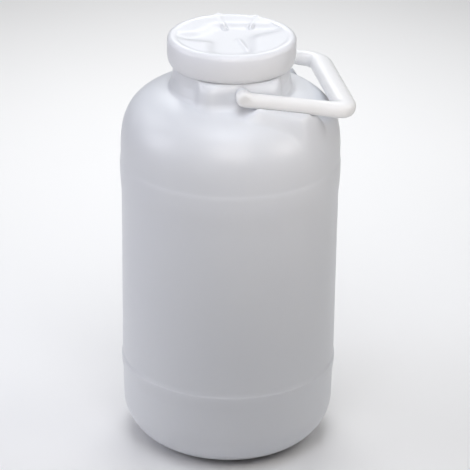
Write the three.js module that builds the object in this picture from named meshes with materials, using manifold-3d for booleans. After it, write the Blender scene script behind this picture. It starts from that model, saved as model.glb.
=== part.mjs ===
// Wide-mouth plastic drum of the ten-litre class, with a screw cap and a swinging bail handle.
// Millimetres, +Z up. The origin is the centre of the base, on the surface that the drum stands on.
// The trunnion axis is level and turned a little about Z, so the front trunnion faces just right of -Y.
import * as THREE from "three";
import { mergeVertices } from "three/addons/utils/BufferGeometryUtils.js";
import Module from "manifold-3d";

const wasm = await Module();
wasm.setup();

// Driving sizes of the body
const PANEL_RADIUS = 105;
const BAND_PROUD = 1.9;
const BAND_TOP = 299;
const BAND_FADE = [257, 284];
const BAND_EDGE_ROUND = 5.9;
const BAND_EDGE_DEG = 36;
const BEAD_PROUD = 0.9;
const BEAD_TOP = 85.5;
const BEAD_FADE = [68, 84];
const BEAD_EDGE_ROUND = 2.6;
const BEAD_EDGE_DEG = 49;
const FOOT_WALL_RADIUS = 104.5;
const BASE_RADIUS = 103.9;
const BASE_CORNER = 43;
const SHOULDER_RADIUS = 105.8;
const SHOULDER_RISE = 72.3;
const SHOULDER_POWER = 3.3;
const AROUND = 72;

// Driving sizes of the neck and of the lug that carries the trunnions
const NECK_RADIUS = 55.5;
const NECK_FOOT_RADIUS = 57.5;
const NECK_FILLET = 6;
const NECK_TOP = 408.6;
const NECK_FLARE_TOP = 390;
const LUG_HALF_WIDTH = 39;
const LUG_FACE = 57.5;
const LUG_TOP = 391.5;
const LUG_CORNER = 9;
const LUG_FOOT = 352;
const LUG_FLARE_TOP = 376;
const LUG_FLARE_RISE = 11;
const LUG_FLARE_REACH = 7;

// Driving sizes of the trunnions and of the bail handle
const TRUNNION_TURN_DEG = 9.7;
const TRUNNION_HEIGHT = 381.8;
const TRUNNION_RADIUS = 4.2;
const BOSS_RADIUS = 6.4;
const BOSS_ROOT = 8;
const TRUNNION_EDGE = 1;
const ARM_OFFSET = 68.5;
const ARM_RAISE = -1.3;
const ARM_HEIGHT = 14.8;
const ARM_THICKNESS = 12;
const REACH = 100.6;
const CORNER_RADIUS = 14;
const GRIP_WIDTH = 21.5;
const GRIP_THICKNESS = 15.5;
const EYE_RADIUS = 7.6;
const EYE_THICKNESS = 12.6;
const EYE_FACE = 2.6;
const EYE_EDGE = 2;
const RUNNING_GAP = 0.3;
const TILT_DEG = -9.6;

// The raised rests on the shoulder that the folded arms lie on, as ramps along and across an arm
const REST_START = [2, 26];
const REST_END = [76, 60];
const REST_INNER = [54, 60];
const REST_OUTER = [78.5, 70];
const REST_RADIUS = [103.5, 93];
const REST_SLOPE_DEG = 22;
const REST_SINK = 1.5;
const REST_DEPTH = 30;
const REST_STEPS = [24, 14];
const REST_GAP = 0.4;

// Driving sizes of the cap
const CAP_RADIUS = 61.3;
const CAP_TOP = 420;
const CAP_BOTTOM = 392;
const CAP_RIM_ROUND = 5;
const CAP_RIM_WIDTH = 8.5;
const CAP_FOOT_ROUND = 2.2;
const CAP_BORE = 56.2;
const CAP_PLATE_UNDER = 409;
const LOBE_LEVEL = 419.4;
const POCKET_LEVEL = 415;
const POCKET_EDGE = 3;
const POCKET_LIMIT = 52.5;
const POCKET_CLEAR = 10;
// Plan of the recess in the cap's top, seen from above, as X and Y pairs
const POCKET_PLAN = [
  [-56, -4.5], [-44, -7.5], [-32, -12], [-20, -14], [-19.5, -28], [-18.5, -44], [-7, -50], [8, -50],
  [17, -43], [19, -24], [19.5, -4], [24, 4.5], [33, 9], [42, 17], [54, 26], [52, 32], [32, 31],
  [0, 32], [-14, 30], [-20, 24], [-26, 13], [-32, 6], [-42, 3.5], [-56, 1.5],
];
// Ribs on the cap's top, each as the X and Y of both ends and the height of its top
const RIBS = [[-6, 21, -13.2, 57, 419.8], [17.5, 24, 23.4, 53.6, 419.8], [6, -3, 17, -43, 417.6]];
const RIB_WIDTH = 3.8;
const RIB_CORNER = 1.2;
// Nubs on the cap's rim, as radius and direction in degrees
const NUBS = [[58, 103], [57.6, 66]];
const NUB_SIZE = 4.2;
const NUB_CORNER = 1.6;
const NUB_TOP = 421.2;

const rad = THREE.MathUtils.degToRad;

// Points along an arc from one angle to another, both in degrees
function arc(cx, cy, radius, from, to, steps) {
  return Array.from({ length: steps + 1 }, (_, i) => {
    const a = rad(from + ((to - from) * i) / steps);
    return new THREE.Vector2(cx + radius * Math.cos(a), cy + radius * Math.sin(a));
  });
}

// A solid of revolution about Z, from a closed profile of (radius, height)
function turned(profile, around = AROUND) {
  return new THREE.LatheGeometry(profile, around).rotateX(Math.PI / 2);
}

// A solid for booleans, from any closed geometry
function solid(geometry) {
  const bare = geometry.clone();
  bare.deleteAttribute("normal");
  bare.deleteAttribute("uv");
  const merged = mergeVertices(bare, 1e-4);
  const vertProperties = Float32Array.from(merged.attributes.position.array);
  const triVerts = Uint32Array.from(merged.index.array);
  return new wasm.Manifold(new wasm.Mesh({ numProp: 3, vertProperties, triVerts }));
}

function meshOf(name, shape, colour, roughness) {
  const got = shape.getMesh();
  const geometry = new THREE.BufferGeometry();
  geometry.setAttribute("position", new THREE.BufferAttribute(got.vertProperties, 3));
  geometry.setIndex(new THREE.BufferAttribute(got.triVerts, 1));
  geometry.computeVertexNormals();
  const material = new THREE.MeshStandardMaterial({ color: colour, roughness, metalness: 0 });
  const mesh = new THREE.Mesh(geometry, material);
  mesh.name = name;
  return mesh;
}

// A rectangle in plan with rounded corners
function roundedPlan(x0, x1, y0, y1, corner) {
  return new THREE.Shape([
    ...arc(x1 - corner, y1 - corner, corner, 0, 90, 4),
    ...arc(x0 + corner, y1 - corner, corner, 90, 180, 4),
    ...arc(x0 + corner, y0 + corner, corner, 180, 270, 4),
    ...arc(x1 - corner, y0 + corner, corner, 270, 360, 4),
  ]);
}

// A rounded rectangle extruded upwards from one height to another
function block(x0, x1, y0, y1, corner, bottom, top) {
  const outline = roundedPlan(x0, x1, y0, y1, corner);
  const made = new THREE.ExtrudeGeometry(outline, { depth: top - bottom, bevelEnabled: false });
  return made.translate(0, 0, bottom);
}

// 0 at the first of two limits and 1 at the second, with a soft start and end
function ramp(value, [none, full]) {
  const part = THREE.MathUtils.clamp((value - none) / (full - none), 0, 1);
  return part * part * (3 - 2 * part);
}

// Height of the domed shoulder at a distance from the drum's axis
function shoulderHeight(radius) {
  const part = Math.min(radius / SHOULDER_RADIUS, 1);
  return BAND_TOP + SHOULDER_RISE * (1 - part ** SHOULDER_POWER) ** (1 / SHOULDER_POWER);
}

// A band of the wall, from a soft start below to an upper edge that turns in by an arc
function bandProfile(below, above, proud, fade, top, round, turn) {
  const steps = 5;
  const edgeSteps = 4;
  const rise = Array.from({ length: steps + 1 }, (_, i) => {
    const height = THREE.MathUtils.lerp(fade[0], fade[1], i / steps);
    return new THREE.Vector2(below + (above + proud - below) * ramp(height, fade), height);
  });
  return [...rise, ...arc(above + proud - round, top, round, 0, turn, edgeSteps)];
}

function bodyProfile() {
  const bead = bandProfile(
    FOOT_WALL_RADIUS, PANEL_RADIUS, BEAD_PROUD, BEAD_FADE, BEAD_TOP, BEAD_EDGE_ROUND, BEAD_EDGE_DEG);
  const bandEdge = BAND_TOP - BAND_EDGE_ROUND * Math.sin(rad(BAND_EDGE_DEG)) / 2;
  const band = bandProfile(
    PANEL_RADIUS, PANEL_RADIUS, BAND_PROUD, BAND_FADE, bandEdge, BAND_EDGE_ROUND, BAND_EDGE_DEG);
  const filletCentre = NECK_FOOT_RADIUS + NECK_FILLET;
  const filletHeight = shoulderHeight(filletCentre) + NECK_FILLET;
  const domeSteps = 12;
  const dome = Array.from({ length: domeSteps + 1 }, (_, i) => {
    const swing = (i / domeSteps) * (Math.PI / 2);
    const power = 2 / SHOULDER_POWER;
    const radius = SHOULDER_RADIUS * Math.cos(swing) ** power;
    return new THREE.Vector2(radius, BAND_TOP + SHOULDER_RISE * Math.sin(swing) ** power);
  }).filter((point) => point.x > filletCentre + 1 && point.y > BAND_TOP + 2);
  return [
    new THREE.Vector2(0, 0),
    ...arc(BASE_RADIUS - BASE_CORNER, BASE_CORNER, BASE_CORNER, -90, 0, 8),
    ...bead,
    ...band,
    ...dome,
    ...arc(filletCentre, filletHeight, NECK_FILLET, -90, -180, 4),
    new THREE.Vector2(NECK_RADIUS, NECK_FLARE_TOP),
    new THREE.Vector2(NECK_RADIUS, NECK_TOP),
    new THREE.Vector2(0, NECK_TOP),
  ];
}

// Everything from here to makeBody is in the frame of the trunnions: X along the folded arms
const tilt = rad(TILT_DEG);

// A raised rest for one folded arm: its top runs parallel to the arm and slopes outwards, and its
// sides ramp softly down into the dome
function makeRest(side) {
  const along = REST_END[0] - REST_START[0];
  const across = REST_OUTER[0] - REST_INNER[0];
  const made = new THREE.BoxGeometry(along, across, 2, ...REST_STEPS, 1);
  const position = made.attributes.position;
  const underside = TRUNNION_HEIGHT + (ARM_RAISE - ARM_HEIGHT / 2 - REST_GAP) / Math.cos(tilt);
  for (let i = 0; i < position.count; i += 1) {
    const x = position.getX(i) + along / 2 + REST_START[0];
    const out = position.getY(i) * side + across / 2 + REST_INNER[0];
    const radius = Math.hypot(x, out);
    const dome = shoulderHeight(radius) - REST_SINK;
    const slope = Math.max(out - ARM_OFFSET, 0) * Math.tan(rad(REST_SLOPE_DEG));
    const flat = underside + x * Math.tan(tilt) - slope;
    const share = ramp(x, REST_START) * ramp(x, REST_END) * ramp(out, REST_INNER) * ramp(out, REST_OUTER)
      * ramp(radius, REST_RADIUS);
    const top = dome + (flat - dome) * share;
    position.setXYZ(i, x, out * side, position.getZ(i) > 0 ? top : dome - REST_DEPTH);
  }
  const limit = new THREE.CylinderGeometry(REST_RADIUS[0], REST_RADIUS[0], SHOULDER_RISE, AROUND);
  limit.rotateX(Math.PI / 2).translate(0, 0, BAND_TOP + SHOULDER_RISE / 2);
  return solid(made).intersect(solid(limit));
}

function makeTrunnion(side) {
  const inner = LUG_FACE - BOSS_ROOT;
  const bossFace = ARM_OFFSET - EYE_THICKNESS / 2 - RUNNING_GAP;
  const end = ARM_OFFSET + EYE_THICKNESS / 2 - EYE_FACE - RUNNING_GAP;
  const profile = [
    new THREE.Vector2(0, inner),
    new THREE.Vector2(BOSS_RADIUS, inner),
    new THREE.Vector2(BOSS_RADIUS, bossFace),
    new THREE.Vector2(TRUNNION_RADIUS, bossFace),
    new THREE.Vector2(TRUNNION_RADIUS, end - TRUNNION_EDGE),
    new THREE.Vector2(TRUNNION_RADIUS - TRUNNION_EDGE, end),
    new THREE.Vector2(0, end),
  ];
  const made = new THREE.LatheGeometry(profile, 24);
  if (side < 0) made.rotateX(Math.PI);
  return solid(made.translate(0, 0, TRUNNION_HEIGHT));
}

// The lug round the neck, whose foot spreads out onto the dome
function makeLug() {
  const sides = [-LUG_HALF_WIDTH, LUG_HALF_WIDTH, -LUG_FACE, LUG_FACE, LUG_CORNER];
  const foot = new THREE.ExtrudeGeometry(roundedPlan(...sides), {
    depth: LUG_FLARE_RISE,
    bevelThickness: LUG_FLARE_RISE,
    bevelSize: LUG_FLARE_REACH,
    bevelSegments: 1,
  });
  foot.translate(0, 0, LUG_FLARE_TOP - 2 * LUG_FLARE_RISE);
  return solid(block(...sides, LUG_FOOT, LUG_TOP)).add(solid(foot));
}

function makeBody() {
  const carried = [makeLug()];
  for (const side of [-1, 1]) carried.push(makeTrunnion(side), makeRest(side));
  const shell = solid(turned(bodyProfile()));
  return carried.reduce((whole, piece) => whole.add(piece), shell);
}

// The recess in the cap's top, with walls that lean outwards
function makePocket() {
  const outline = new THREE.Shape(POCKET_PLAN.map(([x, y]) => new THREE.Vector2(x, y)));
  const made = new THREE.ExtrudeGeometry(outline, {
    depth: POCKET_CLEAR,
    bevelThickness: LOBE_LEVEL - POCKET_LEVEL,
    bevelSize: POCKET_EDGE,
    bevelOffset: -POCKET_EDGE,
    bevelSegments: 1,
  });
  made.translate(0, 0, LOBE_LEVEL);
  const limit = new THREE.CylinderGeometry(
    POCKET_LIMIT, POCKET_LIMIT - POCKET_EDGE, 2 * POCKET_CLEAR, AROUND);
  limit.rotateX(Math.PI / 2).translate(0, 0, POCKET_LEVEL + POCKET_CLEAR);
  return solid(made).intersect(solid(limit));
}

// A rib on the cap's top between two points in plan
function makeRib([x0, y0, x1, y1, top]) {
  const half = Math.hypot(x1 - x0, y1 - y0) / 2;
  const rib = block(-half, half, -RIB_WIDTH / 2, RIB_WIDTH / 2, RIB_CORNER, POCKET_LEVEL - 1, top);
  rib.rotateZ(Math.atan2(y1 - y0, x1 - x0)).translate((x0 + x1) / 2, (y0 + y1) / 2, 0);
  return solid(rib);
}

// A nub on the cap's rim, at a radius and a direction in degrees
function makeNub([radius, direction]) {
  const half = NUB_SIZE / 2;
  const nub = block(radius - half, radius + half, -half, half, NUB_CORNER, LOBE_LEVEL - 1, NUB_TOP);
  return solid(nub.rotateZ(rad(direction)));
}

// The cap's skirt is closed at the top by a plate with a recess in it, inside a raised rim
function makeCap() {
  const rimInner = CAP_RADIUS - CAP_RIM_WIDTH;
  const profile = [
    new THREE.Vector2(0, CAP_PLATE_UNDER),
    new THREE.Vector2(CAP_BORE, CAP_PLATE_UNDER),
    new THREE.Vector2(CAP_BORE, CAP_BOTTOM),
    ...arc(CAP_RADIUS - CAP_FOOT_ROUND, CAP_BOTTOM + CAP_FOOT_ROUND, CAP_FOOT_ROUND, -90, 0, 3),
    ...arc(CAP_RADIUS - CAP_RIM_ROUND, CAP_TOP - CAP_RIM_ROUND, CAP_RIM_ROUND, 0, 90, 6),
    new THREE.Vector2(rimInner + 1.6, CAP_TOP),
    new THREE.Vector2(rimInner, LOBE_LEVEL),
    new THREE.Vector2(0, LOBE_LEVEL),
  ];
  const plain = solid(turned(profile)).subtract(makePocket());
  return [...RIBS.map(makeRib), ...NUBS.map(makeNub)].reduce((whole, piece) => whole.add(piece), plain);
}

// The bail is a bar bent into a U, thicker across its grip, drawn with its plane flat and its
// pivots on the Y axis
function bentBar() {
  const line = new THREE.Path();
  const far = REACH - CORNER_RADIUS;
  line.moveTo(0, -ARM_OFFSET);
  line.lineTo(far, -ARM_OFFSET);
  line.absarc(far, -ARM_OFFSET + CORNER_RADIUS, CORNER_RADIUS, -Math.PI / 2, 0, false);
  line.lineTo(REACH, ARM_OFFSET - CORNER_RADIUS);
  line.absarc(far, ARM_OFFSET - CORNER_RADIUS, CORNER_RADIUS, 0, Math.PI / 2, false);
  line.lineTo(0, ARM_OFFSET);
  const length = line.getLength();
  const bend = (Math.PI / 2) * CORNER_RADIUS;
  const half = [0, far * 0.4, far * 0.75, far * 0.92];
  for (let i = 0; i <= 6; i += 1) half.push(far + (bend * i) / 6);
  half.push(far + bend + 6, far + bend + 16, length / 2);
  const stations = [...half, ...half.slice(0, -1).reverse().map((at) => length - at)];
  const bar = new THREE.CylinderGeometry(1, 1, 1, 24, stations.length - 1);
  const position = bar.attributes.position;
  const vertex = new THREE.Vector3();
  for (let i = 0; i < position.count; i += 1) {
    vertex.fromBufferAttribute(position, i);
    const at = stations[Math.round((0.5 - vertex.y) * (stations.length - 1))];
    const point = line.getPointAt(at / length);
    const tangent = line.getTangentAt(at / length);
    const near = Math.min(at, length - at);
    const swell = THREE.MathUtils.smoothstep(near, far * 0.75, far + bend + 6);
    const width = THREE.MathUtils.lerp(ARM_THICKNESS, GRIP_WIDTH, swell) / 2;
    const height = THREE.MathUtils.lerp(ARM_HEIGHT, GRIP_THICKNESS, swell) / 2;
    const power = 2 / THREE.MathUtils.lerp(2.2, 2.9, swell);
    const across = Math.sign(vertex.x) * Math.abs(vertex.x) ** power * width;
    const up = Math.sign(vertex.z) * Math.abs(vertex.z) ** power * height;
    position.setXYZ(i, point.x - tangent.y * across, point.y + tangent.x * across, up + ARM_RAISE);
  }
  return bar;
}

function makeHandle() {
  let bail = solid(bentBar());
  const inner = ARM_OFFSET - EYE_THICKNESS / 2;
  const outer = ARM_OFFSET + EYE_THICKNESS / 2;
  for (const side of [-1, 1]) {
    const eye = new THREE.LatheGeometry([
      new THREE.Vector2(0, inner),
      new THREE.Vector2(EYE_RADIUS - EYE_EDGE, inner),
      new THREE.Vector2(EYE_RADIUS, inner + EYE_EDGE),
      new THREE.Vector2(EYE_RADIUS, outer - EYE_EDGE),
      new THREE.Vector2(EYE_RADIUS - EYE_EDGE, outer),
      new THREE.Vector2(0, outer),
    ], 32);
    const bore = new THREE.CylinderGeometry(
      TRUNNION_RADIUS + RUNNING_GAP, TRUNNION_RADIUS + RUNNING_GAP, EYE_THICKNESS, 24);
    bore.translate(0, side * (ARM_OFFSET - EYE_FACE), 0);
    if (side < 0) eye.rotateX(Math.PI);
    bail = bail.add(solid(eye)).subtract(solid(bore));
  }
  return bail;
}

const WHITE_BODY = 0xe4e6ec;
const WHITE_CAP = 0xeaedf4;
const WHITE_BAIL = 0xf0f0f0;

const body = meshOf("drum_body", makeBody(), WHITE_BODY, 0.42);
const handle = meshOf("bail_handle", makeHandle(), WHITE_BAIL, 0.38);
handle.rotation.y = -tilt;
handle.position.z = TRUNNION_HEIGHT;

const trunnionFrame = new THREE.Group();
trunnionFrame.rotation.z = rad(TRUNNION_TURN_DEG);
trunnionFrame.add(body, handle);

const drum = new THREE.Group();
drum.add(trunnionFrame, meshOf("screw_cap", makeCap(), WHITE_CAP, 0.4));

export default drum;
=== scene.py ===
"""Looks of a wide-mouth plastic drum: shell, screw cap and bail handle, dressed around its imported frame.

Sizes are in millimetres in the classes below and become metres when a mesh is finished. Shapes that belong
to the pivots are drawn in the pivot frame, with X along the folded arms, and are turned into place last.
"""
import logging
import math
from dataclasses import dataclass
from enum import Enum

import bmesh
import bpy
import numpy as np
from mathutils import Matrix, Vector

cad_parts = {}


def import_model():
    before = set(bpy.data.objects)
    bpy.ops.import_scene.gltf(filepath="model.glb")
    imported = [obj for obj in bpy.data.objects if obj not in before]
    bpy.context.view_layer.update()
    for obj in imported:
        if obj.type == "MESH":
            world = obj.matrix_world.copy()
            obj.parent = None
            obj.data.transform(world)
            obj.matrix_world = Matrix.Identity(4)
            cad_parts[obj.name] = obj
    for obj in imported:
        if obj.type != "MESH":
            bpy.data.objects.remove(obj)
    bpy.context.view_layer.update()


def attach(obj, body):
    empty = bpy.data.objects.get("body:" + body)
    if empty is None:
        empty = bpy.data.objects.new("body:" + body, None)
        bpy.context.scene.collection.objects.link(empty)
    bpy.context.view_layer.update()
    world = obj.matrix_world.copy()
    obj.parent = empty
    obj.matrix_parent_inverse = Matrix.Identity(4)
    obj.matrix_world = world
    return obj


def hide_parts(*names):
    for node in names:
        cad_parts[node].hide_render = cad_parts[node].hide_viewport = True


LOG = logging.getLogger("drum")
MM = 0.001
IMAGE_SIZE = 470
TOUCHING = 1e-4
# Sockets of a Mix node that is set to mix colours
MIX_FACTOR, MIX_FIRST, MIX_SECOND, MIX_RESULT = 0, 6, 7, 2

Profile = list[tuple[float, float]]


class Zone(Enum):
    """Which stretch of the shell's profile a ring of vertices belongs to."""

    FIXED = 0
    DOME = 1
    FILLET = 2
    NECK = 3
    LUG_EDGE = 4


class Side(Enum):
    """The two ends of the pivot axis, as the sign of Y in the pivot frame."""

    FRONT = -1
    BACK = 1


Ring = tuple[Zone, float, float, float]


# Small helpers


def linear(hex_colour: str) -> tuple[float, float, float, float]:
    """Turn an sRGB hex colour into a linear RGBA value.

    Args:
        hex_colour: six hex digits, such as "e6e8ee".

    Returns:
        Linear red, green and blue with an alpha of 1.
    """
    parts = [int(hex_colour[i:i + 2], 16) / 255 for i in (0, 2, 4)]
    values = [c / 12.92 if c <= 0.04045 else ((c + 0.055) / 1.055) ** 2.4 for c in parts]
    return (*values, 1.0)


def add_node(tree: bpy.types.NodeTree, kind: str, settings: dict, links: dict) -> bpy.types.Node:
    """Add one shader node, set its properties and sockets, and link its inputs.

    Args:
        tree: the node tree to add to.
        kind: the node's Blender type name.
        settings: property or input-socket names, or socket numbers, with their values.
        links: input-socket names or numbers with the output socket that feeds each.

    Returns:
        The new node.
    """
    node = tree.nodes.new(kind)
    for key, value in settings.items():
        if isinstance(key, str) and hasattr(node, key):
            setattr(node, key, value)
        else:
            node.inputs[key].default_value = value
    for key, source in links.items():
        tree.links.new(source, node.inputs[key])
    return node


def ramp(value: np.ndarray, none: float | np.ndarray, full: float | np.ndarray) -> np.ndarray:
    """Rise softly from 0 at one limit to 1 at the other.

    Args:
        value: the values to weigh.
        none: where the result is 0.
        full: where the result is 1.

    Returns:
        A weight between 0 and 1 for each value.
    """
    part = np.clip((value - none) / (full - none), 0.0, 1.0)
    return part * part * (3 - 2 * part)


def arc(cx: float, cy: float, radius: float, start: float, end: float, steps: int) -> Profile:
    """Give points along an arc of a profile.

    Args:
        cx: centre's distance from the axis.
        cy: centre's height.
        radius: arc radius.
        start: first angle in degrees.
        end: last angle in degrees.
        steps: number of steps between them.

    Returns:
        Points as distance from the axis and height.
    """
    angles = [math.radians(start + (end - start) * i / steps) for i in range(steps + 1)]
    return [(cx + radius * math.cos(a), cy + radius * math.sin(a)) for a in angles]


def spun(profile: Profile, around: int) -> bmesh.types.BMesh:
    """Spin a profile of distance from the axis and height about Z into a closed shell.

    Args:
        profile: points from one end on the axis to the other.
        around: number of steps in the full turn.

    Returns:
        The spun mesh, in millimetres, facing outwards.
    """
    bm = bmesh.new()
    verts = [bm.verts.new((r, 0.0, z)) for r, z in profile]
    edges = [bm.edges.new(pair) for pair in zip(verts, verts[1:])]
    bmesh.ops.spin(
        bm, geom=verts + edges, cent=(0, 0, 0), axis=(0, 0, 1), angle=math.tau, steps=around, use_merge=True,
        use_duplicate=False)
    bmesh.ops.remove_doubles(bm, verts=bm.verts, dist=TOUCHING)
    bmesh.ops.recalc_face_normals(bm, faces=bm.faces)
    return bm


def finished(
        bm: bmesh.types.BMesh, name: str, material: bpy.types.Material,
        sharp_deg: float = 50) -> bpy.types.Object:
    """Scale a mesh from millimetres to metres and put it in the scene as a smooth-shaded object.

    Args:
        bm: the mesh in millimetres, freed here.
        name: the object's name.
        material: its only material.
        sharp_deg: edges that turn by more than this stay sharp.

    Returns:
        The new object, at the origin.
    """
    bmesh.ops.scale(bm, vec=(MM, MM, MM), verts=bm.verts)
    for face in bm.faces:
        face.smooth = True
    for edge in bm.edges:
        edge.smooth = len(edge.link_faces) != 2 or edge.calc_face_angle(0) < math.radians(sharp_deg)
    mesh = bpy.data.meshes.new(name)
    bm.to_mesh(mesh)
    bm.free()
    mesh.materials.append(material)
    piece = bpy.data.objects.new(name, mesh)
    bpy.context.scene.collection.objects.link(piece)
    return piece


# Finishes


@dataclass(frozen=True)
class Polyethylene:
    """White high-density polyethylene: waxy, faintly cool, with a broad soft gloss.

    Blow-moulding leaves a fine orange peel and slow changes of tone with the wall's thickness. Injection
    moulding leaves a finer, more even skin.
    """

    name: str
    colour: str
    shade: str
    roughness: float
    peel_mm: float
    peel_depth_mm: float
    cloud_mm: float
    depth_of_glow_mm: float
    glow: float
    ior: float = 1.5
    gloss_swing: float = 0.05
    drawn_out: float = 0.45
    peel_strength: float = 0.5

    def material(self) -> bpy.types.Material:
        """Build the material.

        Returns:
            The material, reading Object coordinates alone.
        """
        made = bpy.data.materials.new(self.name)
        made.use_nodes = True
        tree = made.node_tree
        shader = tree.nodes["Principled BSDF"]
        shader.inputs["IOR"].default_value = self.ior
        shader.inputs["Subsurface Weight"].default_value = self.glow
        shader.inputs["Subsurface Radius"].default_value = (1.0, 1.0, 1.0)
        shader.inputs["Subsurface Scale"].default_value = self.depth_of_glow_mm * MM
        place = tree.nodes.new("ShaderNodeTexCoord").outputs["Object"]
        # Slow clouds follow the wall's thickness, drawn out along the parison's fall
        drawn = add_node(tree, "ShaderNodeMapping", {"Scale": (1.0, 1.0, self.drawn_out)}, {"Vector": place})
        clouds = add_node(
            tree, "ShaderNodeTexNoise", {"Scale": 1 / (self.cloud_mm * MM), "Detail": 3.0, "Roughness": 0.5},
            {"Vector": drawn.outputs["Vector"]})
        tone = add_node(
            tree, "ShaderNodeMix",
            {"data_type": "RGBA", MIX_FIRST: linear(self.shade), MIX_SECOND: linear(self.colour)},
            {MIX_FACTOR: clouds.outputs["Fac"]})
        tree.links.new(tone.outputs[MIX_RESULT], shader.inputs["Base Color"])
        gloss = add_node(
            tree, "ShaderNodeMapRange",
            {"To Min": self.roughness - self.gloss_swing, "To Max": self.roughness + self.gloss_swing},
            {"Value": clouds.outputs["Fac"]})
        tree.links.new(gloss.outputs["Result"], shader.inputs["Roughness"])
        peel = add_node(
            tree, "ShaderNodeTexNoise", {"Scale": 1 / (self.peel_mm * MM), "Detail": 2.0, "Roughness": 0.6},
            {"Vector": place})
        bump = add_node(
            tree, "ShaderNodeBump", {"Strength": self.peel_strength, "Distance": self.peel_depth_mm * MM},
            {"Height": peel.outputs["Fac"]})
        tree.links.new(bump.outputs["Normal"], shader.inputs["Normal"])
        return made


@dataclass(frozen=True)
class FloorPaint:
    """Matt white studio floor, with the faint tone changes of a rolled coat."""

    name: str = "studio_floor_matt_white"
    colour: str = "f4f4f5"
    shade: str = "f1f1f2"

    def material(self) -> bpy.types.Material:
        """Build the floor's material.

        Returns:
            The material.
        """
        made = bpy.data.materials.new(self.name)
        made.use_nodes = True
        tree = made.node_tree
        shader = tree.nodes["Principled BSDF"]
        shader.inputs["Roughness"].default_value = 0.9
        shader.inputs["Specular IOR Level"].default_value = 0.1
        place = tree.nodes.new("ShaderNodeTexCoord").outputs["Object"]
        clouds = add_node(tree, "ShaderNodeTexNoise", {"Scale": 3.0, "Detail": 2.0}, {"Vector": place})
        tone = add_node(
            tree, "ShaderNodeMix",
            {"data_type": "RGBA", MIX_FIRST: linear(self.shade), MIX_SECOND: linear(self.colour)},
            {MIX_FACTOR: clouds.outputs["Fac"]})
        tree.links.new(tone.outputs[MIX_RESULT], shader.inputs["Base Color"])
        return made


# Blow-moulded polyethylene: satin, with a faint orange peel and slow clouds of tone in a thin wall
SHELL_FINISH = Polyethylene(
    name="hdpe_blow_moulded_white", colour="e3e5e9", shade="dfe1e6", roughness=0.35, peel_mm=1.6,
    peel_depth_mm=0.02, cloud_mm=60, depth_of_glow_mm=8, glow=0.6)
# Injection-moulded polyethylene: even and a little whiter, and light spreads softly through its ribs
CAP_FINISH = Polyethylene(
    name="hdpe_injection_white", colour="e6e7eb", shade="e4e5e9", roughness=0.38, peel_mm=0.9,
    peel_depth_mm=0.012, cloud_mm=40, depth_of_glow_mm=8, glow=0.85)
# The same plastic in a thick bar: the whitest and the most neutral of the three
BAIL_FINISH = Polyethylene(
    name="hdpe_injection_bail", colour="f0f0f1", shade="eeeeef", roughness=0.36, peel_mm=0.9,
    peel_depth_mm=0.012, cloud_mm=40, depth_of_glow_mm=8, glow=0.75)


# Pieces


@dataclass
class Pivot:
    """Where the bail's pivot axis lies and how the folded bail hangs from it."""

    turn_deg: float = 9.7
    height: float = 381.8
    tilt_deg: float = 9.6
    arm_offset: float = 68.5
    arm_raise: float = -1.3
    arm_height: float = 14.8
    arm_thickness: float = 12.0
    arm_squareness: float = 2.2
    eye_thickness: float = 12.6
    eye_face: float = 2.6
    running_gap: float = 0.3

    def turn(self, bm: bmesh.types.BMesh) -> None:
        """Turn a mesh from the pivot frame into the drum's own frame.

        Args:
            bm: the mesh to turn.
        """
        turned = Matrix.Rotation(math.radians(self.turn_deg), 3, "Z")
        bmesh.ops.rotate(bm, cent=(0, 0, 0), matrix=turned, verts=bm.verts)


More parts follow.
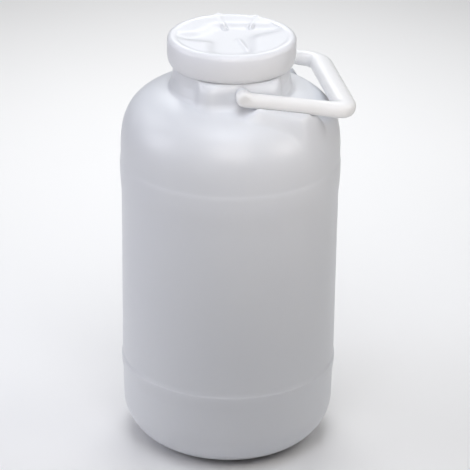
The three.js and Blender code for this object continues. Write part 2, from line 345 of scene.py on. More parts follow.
@dataclass
class DrumShell:
    """The blow-moulded shell: foot, panel, bands, domed shoulder, neck, pivot lug and arm rests."""

    pivot: Pivot
    panel_radius: float = 105.0
    foot_radius: float = 104.5
    base_radius: float = 103.9
    base_corner: float = 43.0
    base_ring: float = 30.0
    foot_wall_height: float = 55.0
    bead_proud: float = 0.9
    bead_fade: tuple[float, float] = (68.0, 84.0)
    bead_top: float = 85.5
    bead_round: float = 2.6
    bead_turn_deg: float = 49.0
    panel_heights: tuple[float, ...] = (92.0, 110.0, 140.0, 170.0, 200.0, 230.0, 248.0)
    band_proud: float = 1.5
    band_fade: tuple[float, float] = (257.0, 284.0)
    band_top: float = 299.0
    band_edge_drop: float = 0.5
    band_round: float = 22.0
    band_turn_deg: float = 14.5
    dome_start: float = 2.2
    dome_crowding: float = 0.35
    shoulder_radius: float = 105.8
    shoulder_rise: float = 72.3
    shoulder_power: float = 3.3
    neck_radius: float = 55.5
    neck_foot_radius: float = 57.5
    neck_top: float = 408.6
    neck_heights: tuple[float, ...] = (392.0, 400.0)
    neck_fillet: float = 5.0
    lug_fillet: float = 9.5
    lug_blend: float = 4.0
    lug_hollow: float = 5.0
    lug_half_width: float = 39.0
    lug_face: float = 57.5
    lug_corner: float = 14.0
    lug_top: float = 391.5
    lug_edge: float = 8.0
    lug_edge_share: float = 0.85
    lug_edge_rise: float = 11.0
    rest_start: tuple[float, float] = (-4.0, 16.0)
    rest_end: tuple[float, float] = (82.0, 68.0)
    rest_inner: tuple[float, float] = (54.0, 60.0)
    rest_edge: float = 74.5
    rest_widening: float = 0.13
    rest_side: float = 6.0
    rest_hug: float = 0.87
    rest_lip: tuple[float, float] = (72.0, 58.0)
    rest_radius: tuple[float, float] = (105.2, 96.0)
    rest_slope_deg: float = 28.0
    rest_gap: float = 0.4
    around: int = 360
    corner_steps: int = 28
    fade_steps: int = 14
    edge_steps: int = 8
    # Rings of each stretch that is shaped later: first and last number, then a radius, a height and the
    # steps of both, which only tell the rings apart until they get their places
    stretches: tuple[tuple[Zone, int, int, float, float, float, float], ...] = (
        (Zone.DOME, 0, 56, 105.78, 299.05, -0.8, 1.1),
        (Zone.FILLET, 1, 8, 60.0, 366.0, -0.3, 0.4),
        (Zone.NECK, 1, 8, 57.0, 371.0, 0.0, 1.5),
        (Zone.LUG_EDGE, 1, 10, 56.5, 384.0, -0.04, 0.6))

    def dome_height(self, radius: np.ndarray) -> np.ndarray:
        """Give the domed shoulder's height at a distance from the axis."""
        part = np.clip(radius / self.shoulder_radius, 0.0, 1.0)
        power = self.shoulder_power
        return self.band_top + self.shoulder_rise * (1 - part ** power) ** (1 / power)

    def band(
            self, below: float, proud: float, fade: tuple[float, float], top: float, edge: float,
            turn_deg: float) -> list[Ring]:
        """Draw one band of the wall, from a soft start below to an upper edge that turns in by an arc.

        Args:
            below: the wall's radius under the band.
            proud: how far the band stands out from the panel.
            fade: heights between which the band grows out of the wall.
            top: height at which the upper edge starts to turn in.
            edge: radius of the upper edge.
            turn_deg: how far the upper edge turns.

        Returns:
            The band's rings.
        """
        crest = self.panel_radius + proud
        steps = self.fade_steps
        heights = [fade[0] + (fade[1] - fade[0]) * i / steps for i in range(steps + 1)]
        points = [(below + (crest - below) * float(ramp(np.array(z), *fade)), z) for z in heights]
        points += arc(crest - edge, top, edge, 0, turn_deg, self.edge_steps)
        return self.fixed(points)

    def fixed(self, points: Profile) -> list[Ring]:
        """Turn points of the profile into rings that stay where they are."""
        return [(Zone.FIXED, 0.0, radius, height) for radius, height in points]

    def rings(self) -> list[Ring]:
        """List the shell's rings from the centre of the base to the centre of the neck's top.

        Returns:
            Each ring's zone, its place along that zone from 0 to 1, and a first radius and height.
        """
        rings = self.fixed([(0.0, 0.0), (self.base_ring, 0.0)])
        corner = self.base_corner
        rings += self.fixed(arc(self.base_radius - corner, corner, corner, -90, 0, self.corner_steps))
        rings += self.fixed([((self.base_radius + self.foot_radius) / 2, self.foot_wall_height)])
        rings += self.band(
            self.foot_radius, self.bead_proud, self.bead_fade, self.bead_top, self.bead_round,
            self.bead_turn_deg)
        rings += self.fixed([(self.panel_radius, z) for z in self.panel_heights])
        edge_rise = self.band_round * math.sin(math.radians(self.band_turn_deg))
        edge_foot = self.band_top - self.band_edge_drop - edge_rise
        rings += self.band(
            self.panel_radius, self.band_proud, self.band_fade, edge_foot, self.band_round,
            self.band_turn_deg)
        for zone, first, last, radius, height, outwards, upwards in self.stretches:
            for i in range(first, last + 1):
                rings.append((zone, i / last, radius + outwards * i, height + upwards * i))
        neck = (self.lug_top, *self.neck_heights, self.neck_top)
        rings += self.fixed([(self.neck_radius, z) for z in neck] + [(0.0, self.neck_top)])
        return rings

    def lug_reach(self, angle: np.ndarray) -> np.ndarray:
        """Give the lug's outline in plan, a rectangle with round corners, as a distance at each angle."""
        c = np.maximum(np.abs(np.cos(angle)), 1e-6)
        s = np.maximum(np.abs(np.sin(angle)), 1e-6)
        reach = np.minimum(self.lug_half_width / c, self.lug_face / s)
        cx = self.lug_half_width - self.lug_corner
        cy = self.lug_face - self.lug_corner
        along = c * cx + s * cy
        square = np.maximum(along ** 2 - (cx ** 2 + cy ** 2 - self.lug_corner ** 2), 0.0)
        in_corner = (reach * c > cx) & (reach * s > cy)
        return np.where(in_corner, along + np.sqrt(square), reach)

    def hollowed(self, radius: float | np.ndarray, lug: np.ndarray) -> np.ndarray:
        """Join the round neck and the lug in plan, with a soft hollow between them."""
        return (radius + lug + np.sqrt((radius - lug) ** 2 + self.lug_hollow ** 2)) / 2

    def touched(self, foot: np.ndarray, fillet: np.ndarray) -> tuple[np.ndarray, np.ndarray]:
        """Roll a fillet into the corner between the neck's foot and the dome.

        Args:
            foot: radius of the neck's foot at each angle.
            fillet: radius of the fillet at each angle.

        Returns:
            The radius at which the fillet touches the dome, and the dome's slope there in radians.
        """
        probe = 0.2
        touch = foot + fillet
        for _ in range(6):
            fall = self.dome_height(touch - probe) - self.dome_height(touch + probe)
            slope = np.arctan(fall / (2 * probe))
            touch = foot + fillet * (1 - np.sin(slope))
        return touch, slope

    def shaped(self, zone: np.ndarray, place: np.ndarray, angle: np.ndarray, first: np.ndarray) -> np.ndarray:
        """Move the rings of the shoulder and neck out to the lug, and give every ring its fillets.

        Args:
            zone: each vertex's zone, as the Enum's value.
            place: each vertex's place along its zone.
            angle: each vertex's angle in the pivot frame.
            first: each vertex's first radius and height, as two columns.

        Returns:
            New radius and height of each vertex, as two columns.
        """
        lug = self.lug_reach(angle)
        on_lug = ramp(lug - self.neck_foot_radius, -self.lug_blend, self.lug_blend)
        fillet = self.neck_fillet + (self.lug_fillet - self.neck_fillet) * on_lug
        foot = self.hollowed(self.neck_foot_radius, lug)
        touch, slope = self.touched(foot, fillet)
        foot_height = self.dome_height(touch) + fillet * np.cos(slope)

        power = 2 / self.shoulder_power
        first_swing = math.asin((self.dome_start / self.shoulder_rise) ** (1 / power))
        last_swing = np.arccos(np.clip((touch / self.shoulder_radius) ** (1 / power), 0, 1))
        spread = place * (self.dome_crowding + (1 - self.dome_crowding) * place)
        swing = first_swing + (last_swing - first_swing) * spread

        start = np.pi / 2 + slope
        bend = -(start + place * (np.pi - start))
        edge_foot = self.lug_top - self.lug_edge_rise
        cone = self.neck_foot_radius + (self.neck_radius - self.neck_foot_radius) * place
        reach = self.hollowed(self.neck_radius, lug)
        edge = np.minimum(self.lug_edge, (reach - self.neck_radius) * self.lug_edge_share)
        turn = place * np.pi / 2

        in_zone = [zone == z.value for z in (Zone.DOME, Zone.FILLET, Zone.NECK, Zone.LUG_EDGE)]
        radius = np.select(in_zone, [
            self.shoulder_radius * np.cos(swing) ** power,
            foot + fillet + fillet * np.cos(bend),
            self.hollowed(cone, lug),
            reach - edge + edge * np.cos(turn)], first[:, 0])
        height = np.select(in_zone, [
            self.band_top + self.shoulder_rise * np.sin(swing) ** power,
            foot_height + fillet * np.sin(bend),
            foot_height + place * (edge_foot - foot_height),
            edge_foot + self.lug_edge_rise * np.sin(turn)], first[:, 1])
        return np.stack([radius, height], axis=1)

    def raised(self, x: np.ndarray, y: np.ndarray, z: np.ndarray, rests: np.ndarray) -> np.ndarray:
        """Raise the rests under both folded arms, with soft sides that run out into the dome.

        Args:
            x: distance along the folded arms.
            y: distance across them.
            z: height before the rests are raised.
            rests: which vertices may rise.

        Returns:
            The new heights.
        """
        tilt = math.radians(self.pivot.tilt_deg)
        drop = self.pivot.arm_raise - self.pivot.arm_height / 2 - self.rest_gap
        under = self.pivot.height + drop / math.cos(tilt)
        out = np.abs(y)
        half = self.pivot.arm_thickness / 2 + self.rest_gap
        beside = np.clip((out - self.pivot.arm_offset) / half, 0.0, self.rest_hug)
        power = self.pivot.arm_squareness
        lift = self.pivot.arm_height / 2 * (1 - (1 - beside ** power) ** (1 / power))
        lift *= ramp(x, *self.rest_lip)
        beyond = np.maximum(out - self.pivot.arm_offset - self.rest_hug * half, 0.0)
        flat = under - x * math.tan(tilt) + lift - beyond * math.tan(math.radians(self.rest_slope_deg))
        edge = self.rest_edge + self.rest_widening * x
        share = ramp(x, *self.rest_start) * ramp(x, *self.rest_end) * ramp(out, *self.rest_inner)
        share *= ramp(out, edge + self.rest_side, edge) * ramp(np.hypot(x, y), *self.rest_radius)
        return np.where(rests, z + np.maximum(flat - z, 0.0) * share, z)

    def build(self, material: bpy.types.Material) -> bpy.types.Object:
        """Spin the shell, shape its neck, lug and rests, and put it in place of its solid.

        Args:
            material: the shell's finish.

        Returns:
            The finished piece.
        """
        rings = self.rings()
        bm = spun([(r, z) for _, _, r, z in rings], self.around)
        table = np.array([(r, z) for _, _, r, z in rings])
        co = np.array([v.co[:] for v in bm.verts])
        flat = np.stack([np.hypot(co[:, 0], co[:, 1]), co[:, 2]], axis=1)
        nearest = np.argmin(((flat[:, None, :] - table[None, :, :]) ** 2).sum(axis=2), axis=1)
        zone = np.array([z.value for z, _, _, _ in rings])[nearest]
        place = np.array([p for _, p, _, _ in rings])[nearest]
        angle = np.arctan2(co[:, 1], co[:, 0])
        new = self.shaped(zone, place, angle, table[nearest])
        x, y = new[:, 0] * np.cos(angle), new[:, 0] * np.sin(angle)
        rests = np.isin(zone, (Zone.DOME.value, Zone.FILLET.value, Zone.NECK.value))
        z = self.raised(x, y, new[:, 1], rests)
        for vert, point in zip(bm.verts, np.stack([x, y, z], axis=1)):
            vert.co = point
        bmesh.ops.recalc_face_normals(bm, faces=bm.faces)
        self.pivot.turn(bm)
        shell = finished(bm, "drum_shell", material, sharp_deg=60)
        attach(shell, "drum")
        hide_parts("drum_body")
        return shell


@dataclass
class PivotStuds:
    """The boss and stud on each face of the lug that an eye of the bail turns on."""

    pivot: Pivot
    root: float = 54.0
    lug_face: float = 57.5
    flare: float = 2.2
    boss_radius: float = 6.4
    stud_radius: float = 4.15
    boss_chamfer: float = 0.5
    stud_round: float = 1.2
    around: int = 64

    def build(self, material: bpy.types.Material) -> list[bpy.types.Object]:
        """Spin both studs and stand them on the lug.

        Args:
            material: the finish they share with the shell.

        Returns:
            The two pieces.
        """
        pieces = []
        reach = self.pivot.eye_thickness / 2
        boss_face = self.pivot.arm_offset - reach - self.pivot.running_gap
        stud_end = self.pivot.arm_offset + reach - self.pivot.eye_face - self.pivot.running_gap
        foot = self.boss_radius + self.flare
        for side in Side:
            profile = [(0.0, self.root), (foot, self.root), (foot, self.lug_face)]
            profile += arc(foot, self.lug_face + self.flare, self.flare, -90, -180, 5)[1:]
            profile.append((self.boss_radius, boss_face - self.boss_chamfer))
            profile.append((self.boss_radius - self.boss_chamfer, boss_face))
            profile += [(self.stud_radius, boss_face), (self.stud_radius, stud_end - self.stud_round)]
            rounded = self.stud_round
            profile += arc(self.stud_radius - rounded, stud_end - rounded, rounded, 20, 90, 4)
            profile.append((0.0, stud_end))
            bm = spun(profile, self.around)
            turn = Matrix.Rotation(math.radians(-90 * side.value), 3, "X")
            bmesh.ops.rotate(bm, cent=(0, 0, 0), matrix=turn, verts=bm.verts)
            bmesh.ops.translate(bm, vec=(0, 0, self.pivot.height), verts=bm.verts)
            self.pivot.turn(bm)
            piece = finished(bm, f"pivot_stud_{side.name.lower()}", material)
            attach(piece, "drum")
            pieces.append(piece)
        return pieces


@dataclass
class ScrewCap:
    """The screw cap: smooth skirt, round rim with two nubs, and a plate with a branching recess and ribs."""

    radius: float = 61.3
    top: float = 420.0
    bottom: float = 392.0
    bore: float = 56.2
    bore_ring: float = 400.0
    bore_chamfer: float = 0.6
    plate_under: float = 409.0
    under_ring: float = 30.0
    rim_round: float = 5.0
    rim_width: float = 8.5
    foot_round: float = 4.3
    foot_rise: float = 12.0
    skirt_heights: tuple[float, ...] = (407.0, 410.0, 413.0)
    # Where the rim's inner side levels out and where it starts to fall, outwards from the plate's edge
    rim_fall: tuple[float, float] = (-1.0, 2.4)
    rim_steps: int = 6
    rim_step: float = 0.6
    plate: float = 419.4
    recess_floor: float = 416.2
    recess_limit: float = 51.5
    relief_inset: float = 0.9
    map_half: float = 60.0
    map_cell: float = 0.5
    plate_steps: int = 80
    plate_step: float = 0.65
    rib_half_width: float = 1.9
    nub_half: float = 2.1
    nub_top: float = 421.2
    edge_soft: float = 3.8
    rib_soft_share: float = 0.6
    around: int = 480
    # Plan of the recess, seen from above
    recess_plan: tuple[tuple[float, float], ...] = (
        (-56, -4.5), (-44, -7.5), (-32, -12), (-20, -14), (-19.5, -28), (-18.5, -44), (-7, -50), (8, -50),
        (17, -43), (19, -24), (19.5, -4), (24, 4.5), (33, 9), (42, 17), (54, 26), (52, 32), (32, 31),
        (0, 32), (-14, 30), (-20, 24), (-26, 13), (-32, 6), (-42, 3.5), (-56, 1.5))
    # Ribs as X and Y of both ends and the height of the top
    ribs: tuple[tuple[float, float, float, float, float], ...] = (
        (-6, 21, -13.2, 57, 419.8), (17.5, 24, 23.4, 53.6, 419.8), (6, -3, 17, -43, 417.6))
    # Nubs on the rim as radius and direction in degrees
    nubs: tuple[tuple[float, float], ...] = ((58.0, 103.0), (57.6, 66.0))

    def blurred(self, mask: np.ndarray, cell: float) -> np.ndarray:
        """Soften a map of 0 and 1 so that its steps become moulded slopes.

        Args:
            mask: the map.
            cell: its cell size in millimetres.

        Returns:
            The softened map.
        """
        reach = int(math.ceil(3 * self.edge_soft / cell))
        kernel = np.exp(-0.5 * (np.arange(-reach, reach + 1) * cell / self.edge_soft) ** 2)
        kernel /= kernel.sum()
        for axis in (0, 1):
            mask = np.apply_along_axis(lambda line: np.convolve(line, kernel, mode="same"), axis, mask)
        return mask

    def relief(self, x: np.ndarray, y: np.ndarray) -> np.ndarray:
        """Give the depth of the plate below its flat top at points in plan.

        Args:
            x: points' distance to the right.
            y: points' distance away from the viewer.

        Returns:
            Depth at each point.
        """
        cell = self.map_cell
        line = np.arange(-self.map_half, self.map_half + cell, cell)
        gx, gy = np.meshgrid(line, line, indexing="ij")
        inside = np.zeros_like(gx, dtype=bool)
        points = list(self.recess_plan)
        for (x0, y0), (x1, y1) in zip(points, points[1:] + points[:1]):
            crosses = (y0 > gy) != (y1 > gy)
            with np.errstate(divide="ignore", invalid="ignore"):
                at = x0 + (gy - y0) * (x1 - x0) / (y1 - y0 if y1 != y0 else 1e-9)
            inside ^= crosses & (gx < at)
        inside &= np.hypot(gx, gy) < self.recess_limit
        depth = self.blurred(inside.astype(float), cell) * (self.plate - self.recess_floor)
        i = np.clip((x + self.map_half) / cell, 0, len(line) - 2)
        j = np.clip((y + self.map_half) / cell, 0, len(line) - 2)
        i0, j0 = i.astype(int), j.astype(int)
        u, v = i - i0, j - j0
        near = depth[i0, j0] * (1 - v) + depth[i0, j0 + 1] * v
        far = depth[i0 + 1, j0] * (1 - v) + depth[i0 + 1, j0 + 1] * v
        return near * (1 - u) + far * u

    def proud(
            self, place: np.ndarray, ends: tuple[float, float, float, float], half: float,
            top: float) -> None:
        """Raise the skin to a straight bar with soft sides.

        Args:
            place: the skin's points as rows of X, Y and height, changed here.
            ends: X and Y of both ends of the bar's middle line.
            half: half the bar's width.
            top: the bar's height.
        """
        x0, y0, x1, y1 = ends
        length = math.hypot(x1 - x0, y1 - y0)
        ux, uy = (x1 - x0) / length, (y1 - y0) / length
        along = (place[:, 0] - x0) * ux + (place[:, 1] - y0) * uy
        across = np.abs((place[:, 1] - y0) * ux - (place[:, 0] - x0) * uy)
        soft = self.edge_soft * self.rib_soft_share
        weight = ramp(half - across, -soft, soft) * ramp(np.minimum(along, length - along), -soft, soft)
        place[:, 2] += np.maximum(top - place[:, 2], 0.0) * weight

    def profile(self) -> Profile:
        """Draw the cap's section, from the middle of the plate's underside round to the middle of its top.

        Returns:
            The section's points.
        """
        inner = self.radius - self.rim_width
        points = [(0.0, self.plate_under), (self.under_ring, self.plate_under), (self.bore, self.plate_under)]
        points += [(self.bore, self.bore_ring), (self.bore, self.bottom + self.bore_chamfer)]
        points.append((self.bore + self.bore_chamfer, self.bottom))
        foot = arc(self.radius - self.foot_round, 0.0, self.foot_round, -90, 0, 10)
        points += [(r, self.bottom + self.foot_rise * (1 + z / self.foot_round)) for r, z in foot]
        points += [(self.radius, z) for z in self.skirt_heights]
        points += arc(self.radius - self.rim_round, self.top - self.rim_round, self.rim_round, 0, 90, 12)
        level, start = self.rim_fall
        for i in range(self.rim_steps):
            past = start - self.rim_step * i
            share = float(ramp(np.array(past), level, start))
            points.append((inner + past, self.plate + (self.top - self.plate) * share))
        points += [(inner + level - self.plate_step * i, self.plate) for i in range(self.plate_steps)]
        points.append((0.0, self.plate))
        return points

    def build(self, material: bpy.types.Material) -> bpy.types.Object:
        """Spin the cap, press its relief, and put it in place of its solid.

        Args:
            material: the cap's finish.

        Returns:
            The finished piece.
        """
        bm = spun(self.profile(), self.around)
        skin = [v for v in bm.verts if v.co.z > self.top - self.rim_round]
        place = np.array([v.co[:] for v in skin])
        depth = self.relief(place[:, 0], place[:, 1])
        pressed = np.hypot(place[:, 0], place[:, 1]) < self.radius - self.rim_width - self.relief_inset
        place[:, 2] -= np.where(pressed, depth, 0.0)
        for *ends, top in self.ribs:
            self.proud(place, ends, self.rib_half_width, top)
        for radius, turn in self.nubs:
            c, s = math.cos(math.radians(turn)), math.sin(math.radians(turn))
            near, far = radius - self.nub_half, radius + self.nub_half
            self.proud(place, (near * c, near * s, far * c, far * s), self.nub_half, self.nub_top)
        for vert, point in zip(skin, place):
            vert.co = point
        cap = finished(bm, "cap_shell", material)
        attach(cap, "drum")
        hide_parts("screw_cap")
        return cap


@dataclass
class BailHandle:
    """The bail: two arms and a broad grip in one moulded bar, with an eye at each end."""

    pivot: Pivot
    reach: float = 100.6
    corner: float = 14.0
    grip_width: float = 21.5
    grip_thickness: float = 15.5
    grip_squareness: float = 2.9
    # The bar swells from this share of the arm to this far past the corner
    swell_start: float = 0.75
    swell_end: float = 6.0
    eye_radius: float = 7.6
    eye_bore: float = 4.6
    bore_chamfer: float = 0.5
    bore_overrun: float = 3.0
    eye_edge: float = 3.0
    eye_dome: float = 0.4
    smoothing: int = 12
    bar_start: float = 0.4
    voxel: float = 0.8
    ring_sides: int = 40
    eye_sides: int = 72
    arm_steps: int = 22
    bend_steps: int = 14
    grip_steps: int = 12

    def stations(self) -> list[tuple[Vector, Vector, float]]:
        """Walk the bar's centre line from the front eye to the back one.

        Returns:
            Each station's point and direction in the bail's plane, and how far it is into the grip, 0 to 1.
        """
        far = self.reach - self.corner
        offset = self.pivot.arm_offset
        bend = math.pi / 2 * self.corner
        arm = far - self.bar_start
        grip_half = offset - self.corner
        half = [self.bar_start + arm * i / self.arm_steps for i in range(self.arm_steps)]
        half += [far + bend * i / self.bend_steps for i in range(self.bend_steps + 1)]
        half += [far + bend + grip_half * i / self.grip_steps for i in range(1, self.grip_steps + 1)]
        total = 2 * (far + bend + grip_half)
        walked = half + [total - at for at in reversed(half[:-1])]
        made = []
        for at in walked:
            near = min(at, total - at)
            if near <= far:
                point, way = Vector((near, -offset, 0)), Vector((1, 0, 0))
            elif near <= far + bend:
                a = (near - far) / self.corner
                inwards = self.corner * (1 - math.cos(a))
                point = Vector((far + self.corner * math.sin(a), inwards - offset, 0))
                way = Vector((math.cos(a), math.sin(a), 0))
            else:
                point, way = Vector((self.reach, near - far - bend - grip_half, 0)), Vector((0, 1, 0))
            if at > total / 2:
                point.y, way.x = -point.y, -way.x
            grip = float(ramp(np.array(near), far * self.swell_start, far + bend + self.swell_end))
            made.append((point, way, grip))
        return made

    def bar(self, bm: bmesh.types.BMesh) -> None:
        """Extrude a rounded section along the bar's stations.

        Args:
            bm: the mesh that gets the bar.
        """
        circle = bmesh.ops.create_circle(bm, cap_ends=True, segments=self.ring_sides, radius=1.0)
        face = circle["verts"][0].link_faces[0]
        angles = [math.atan2(v.co.y, v.co.x) for v in face.verts]
        for index, (point, way, grip) in enumerate(self.stations()):
            if index:
                grown = bmesh.ops.extrude_face_region(bm, geom=[face])["geom"]
                face = next(f for f in grown if isinstance(f, bmesh.types.BMFace))
            width = self.pivot.arm_thickness + (self.grip_width - self.pivot.arm_thickness) * grip
            tall = self.pivot.arm_height + (self.grip_thickness - self.pivot.arm_height) * grip
            squareness = self.pivot.arm_squareness
            power = 2 / (squareness + (self.grip_squareness - squareness) * grip)
            side = Vector((-way.y, way.x, 0))
            for vert, a in zip(face.verts, angles):
                across = math.copysign(abs(math.cos(a)) ** power, math.cos(a)) * width / 2
                up = math.copysign(abs(math.sin(a)) ** power, math.sin(a)) * tall / 2
                vert.co = point + side * across + Vector((0, 0, up + self.pivot.arm_raise))

    def along_pivot(self, bm: bmesh.types.BMesh, profile: Profile, side: Side) -> None:
        """Spin a profile about the pivot axis and add it at one end of the bar.

        Args:
            bm: the mesh that gets the spun shape.
            profile: points as radius and distance outwards from the middle of the eye.
            side: which end.
        """
        made = spun(profile, self.eye_sides)
        turn = Matrix.Rotation(-side.value * math.pi / 2, 3, "X")
        bmesh.ops.rotate(made, cent=(0, 0, 0), matrix=turn, verts=made.verts)
        bmesh.ops.translate(made, vec=(0, side.value * self.pivot.arm_offset, 0), verts=made.verts)
        held = bpy.data.meshes.new("spun_part")
        made.to_mesh(held)
        made.free()
        bm.from_mesh(held)
        bpy.data.meshes.remove(held)

    def eyes(self, bm: bmesh.types.BMesh) -> None:
        """Add the round eye at each end of the bar, with a faintly domed outer face."""
        half, r, e = self.pivot.eye_thickness / 2, self.eye_radius, self.eye_edge
        face = half - self.eye_dome
        profile = [(0.0, half), ((r - e) / 2, half - self.eye_dome / 4)] + arc(r - e, face - e, e, 90, 0, 5)
        profile += arc(r - e, -half + e, e, 0, -90, 5) + [(0.0, -half)]
        for side in Side:
            self.along_pivot(bm, profile, side)

    def bores(self) -> bpy.types.Object:
        """Make the cutters for the blind bores, each open on its inner side alone.

        Returns:
            One object with both cutters.
        """
        half = self.pivot.eye_thickness / 2
        end = half - self.pivot.eye_face
        mouth = -half - self.bore_overrun
        chamfer = self.bore_chamfer
        profile = [(0.0, end), (self.eye_bore - chamfer, end), (self.eye_bore, end - chamfer)]
        profile += [(self.eye_bore, mouth), (0.0, mouth)]
        bm = bmesh.new()
        for side in Side:
            self.along_pivot(bm, profile, side)
        mesh = bpy.data.meshes.new("bores")
        bm.to_mesh(mesh)
        bm.free()
        cutter = bpy.data.objects.new("bores", mesh)
        bpy.context.scene.collection.objects.link(cutter)
        return cutter

    def fused(self, bm: bmesh.types.BMesh) -> bmesh.types.BMesh:
        """Fuse the bar and its eyes into one skin, soften where they meet, and bore the eyes.

        Args:
            bm: bar and eyes as overlapping shells, freed here.

        Returns:
            The single skin.
        """
        mesh = bpy.data.meshes.new("bail_parts")
        bm.to_mesh(mesh)
        bm.free()
        held = bpy.data.objects.new("bail_parts", mesh)
        bpy.context.scene.collection.objects.link(held)
        cutter = self.bores()
        first = held.modifiers.new("one_skin", "REMESH")
        first.mode = "VOXEL"
        first.voxel_size = self.voxel
        bored = held.modifiers.new("bored", "BOOLEAN")
        bored.operation = "DIFFERENCE"
        bored.solver = "EXACT"
        bored.object = cutter
        second = held.modifiers.new("even_skin", "REMESH")
        second.mode = "VOXEL"
        second.voxel_size = self.voxel
        evaluated = held.evaluated_get(bpy.context.evaluated_depsgraph_get())
        skin = bmesh.new()
        skin.from_mesh(evaluated.to_mesh())
        evaluated.to_mesh_clear()
        bpy.data.objects.remove(held)
        bpy.data.objects.remove(cutter)
        bpy.data.meshes.remove(mesh)
        for _ in range(self.smoothing):
            bmesh.ops.smooth_vert(
                skin, verts=skin.verts, factor=0.5, use_axis_x=True, use_axis_y=True, use_axis_z=True)
        bmesh.ops.recalc_face_normals(skin, faces=skin.faces)
        return skin

    def build(self, material: bpy.types.Material) -> bpy.types.Object:
        """Make the bail and fold it down to the side.

        Args:
            material: the bail's finish.

        Returns:
            The finished piece.
        """
        bm = bmesh.new()
        self.bar(bm)
        self.eyes(bm)
        bmesh.ops.recalc_face_normals(bm, faces=bm.faces)
        skin = self.fused(bm)
        fold = Matrix.Rotation(math.radians(self.pivot.tilt_deg), 3, "Y")
        bmesh.ops.rotate(skin, cent=(0, 0, 0), matrix=fold, verts=skin.verts)
        bmesh.ops.translate(skin, vec=(0, 0, self.pivot.height), verts=skin.verts)
        self.pivot.turn(skin)
        bail = finished(skin, "bail_bar", material, sharp_deg=180)
        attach(bail, "handle")
        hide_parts("bail_handle")
        return bail


# Studio


@dataclass(frozen=True)
class Softbox:
    """One square softbox: where it hangs, the point it faces, and its side, power and sRGB colour."""

    name: str
    place: tuple[float, float, float]
    aim: tuple[float, float, float]
    size: float
    watts: float
    colour: str

    def hang(self) -> bpy.types.Object:
        """Hang the softbox.

        Returns:
            The light.
        """
        data = bpy.data.lights.new(self.name, "AREA")
        data.size = self.size
        data.energy = self.watts
        data.color = linear(self.colour)[:3]
        light = bpy.data.objects.new(self.name, data)
        light.visible_camera = False
        light.location = self.place
        light.rotation_euler = (Vector(self.aim) - Vector(self.place)).to_track_quat("-Z", "Y").to_euler()
        bpy.context.scene.collection.objects.link(light)
        return light


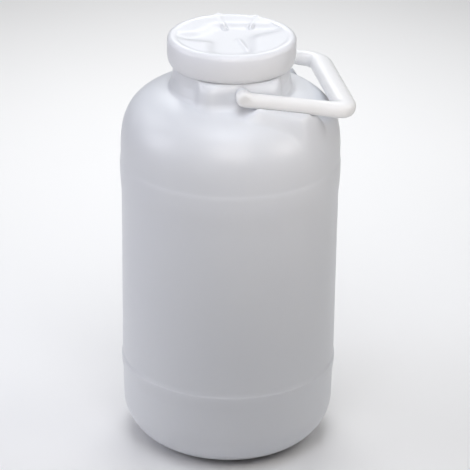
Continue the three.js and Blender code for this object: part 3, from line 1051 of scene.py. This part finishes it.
@dataclass
class Studio:
    """Camera, softboxes and a plain pale floor."""

    focal_px: float = 2534.0
    pitch_deg: float = 24.76
    yaw_deg: float = 0.41
    roll_deg: float = -0.746
    eye: tuple[float, float, float] = (-0.0107, -2.2518, 1.2500)
    sensor_mm: float = 36.0
    floor_size: float = 14.0
    floor_squares: int = 8
    far_clip: float = 50.0
    air_colour: str = "fff2e6"
    air_strength: float = 0.045
    softboxes: tuple[Softbox, ...] = (
        Softbox("key_over_shoulder", (0.0, -0.3, 1.1), (0, 0, 0.35), 0.5, 2.9, "f0f6ff"),
        Softbox("key_over_front", (0.0, -0.62, 0.98), (0, 0, 0.35), 0.45, 0.3, "f0f6ff"),
        Softbox("neck_fill", (0.0, -0.42, 0.52), (0, 0, 0.38), 0.25, 0.66, "fffaf6"),
        Softbox("left_neck_fill", (-0.75, -0.1, 0.5), (0, 0, 0.38), 0.4, 0.98, "edefff"),
        Softbox("right_neck_fill", (0.5, -0.28, 0.56), (0, 0, 0.4), 0.3, 0.55, "fff8ed"),
        Softbox("right_cap_fill", (0.3, -0.24, 0.44), (0.03, 0, 0.405), 0.12, 0.14, "fff8f2"),
        Softbox("left_low_fill", (-1.4, -0.375, 0.69), (0, 0, 0.3), 0.7, 2.9, "fffeff"),
        Softbox("floor_light_back", (0.0, 0.9, 1.0), (0, 0.9, 0), 0.8, 10.0, "feffff"),
        Softbox("floor_light_left", (-0.75, 0.3, 0.8), (-0.5, 0.3, 0), 0.5, 1.5, "fbfbff"),
        Softbox("floor_light_right", (0.75, 0.3, 0.8), (0.5, 0.3, 0), 0.5, 1.5, "fafcff"),
    )

    def camera(self) -> bpy.types.Object:
        """Set the camera where the photograph was taken from."""
        pitch, yaw, roll = (math.radians(a) for a in (self.pitch_deg, self.yaw_deg, self.roll_deg))
        ahead = Vector((math.sin(yaw) * math.cos(pitch), math.cos(yaw) * math.cos(pitch), -math.sin(pitch)))
        level = Vector((math.cos(yaw), -math.sin(yaw), 0))
        down = ahead.cross(level)
        if down.z > 0:
            down = -down
        right = level * math.cos(roll) + down * math.sin(roll)
        below = down * math.cos(roll) - level * math.sin(roll)
        data = bpy.data.cameras.new("camera")
        data.sensor_width = self.sensor_mm
        data.lens = self.focal_px * self.sensor_mm / IMAGE_SIZE
        data.clip_end = self.far_clip
        cam = bpy.data.objects.new("camera", data)
        cam.matrix_world = Matrix((
            (right.x, -below.x, -ahead.x, self.eye[0]),
            (right.y, -below.y, -ahead.y, self.eye[1]),
            (right.z, -below.z, -ahead.z, self.eye[2]),
            (0, 0, 0, 1)))
        bpy.context.scene.collection.objects.link(cam)
        bpy.context.scene.camera = cam
        return cam

    def floor(self, material: bpy.types.Material) -> bpy.types.Object:
        """Lay the floor with its top at the drum's foot."""
        bm = bmesh.new()
        squares = self.floor_squares
        bmesh.ops.create_grid(bm, x_segments=squares, y_segments=squares, size=self.floor_size / 2 / MM)
        piece = finished(bm, "studio_floor", material)
        return piece

    def build(self) -> None:
        """Set up the camera, floor, world and lights."""
        self.camera()
        self.floor(FloorPaint().material())
        world = bpy.data.worlds.new("studio_air")
        world.use_nodes = True
        background = world.node_tree.nodes["Background"]
        background.inputs["Color"].default_value = linear(self.air_colour)
        background.inputs["Strength"].default_value = self.air_strength
        bpy.context.scene.world = world
        for softbox in self.softboxes:
            softbox.hang()
        bpy.context.scene.view_settings.view_transform = "Standard"


def main() -> None:
    """Build the drum's pieces around the frame, dress them and light them."""
    logging.basicConfig(level=logging.INFO, format="%(message)s")
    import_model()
    shell_finish = SHELL_FINISH.material()
    pivot = Pivot()
    pieces = [DrumShell(pivot).build(shell_finish)]
    pieces += PivotStuds(pivot).build(shell_finish)
    pieces.append(ScrewCap().build(CAP_FINISH.material()))
    pieces.append(BailHandle(pivot).build(BAIL_FINISH.material()))
    for piece in pieces:
        LOG.info("%s: %d faces", piece.name, len(piece.data.polygons))
    Studio().build()


if __name__ == "__main__":
    main()
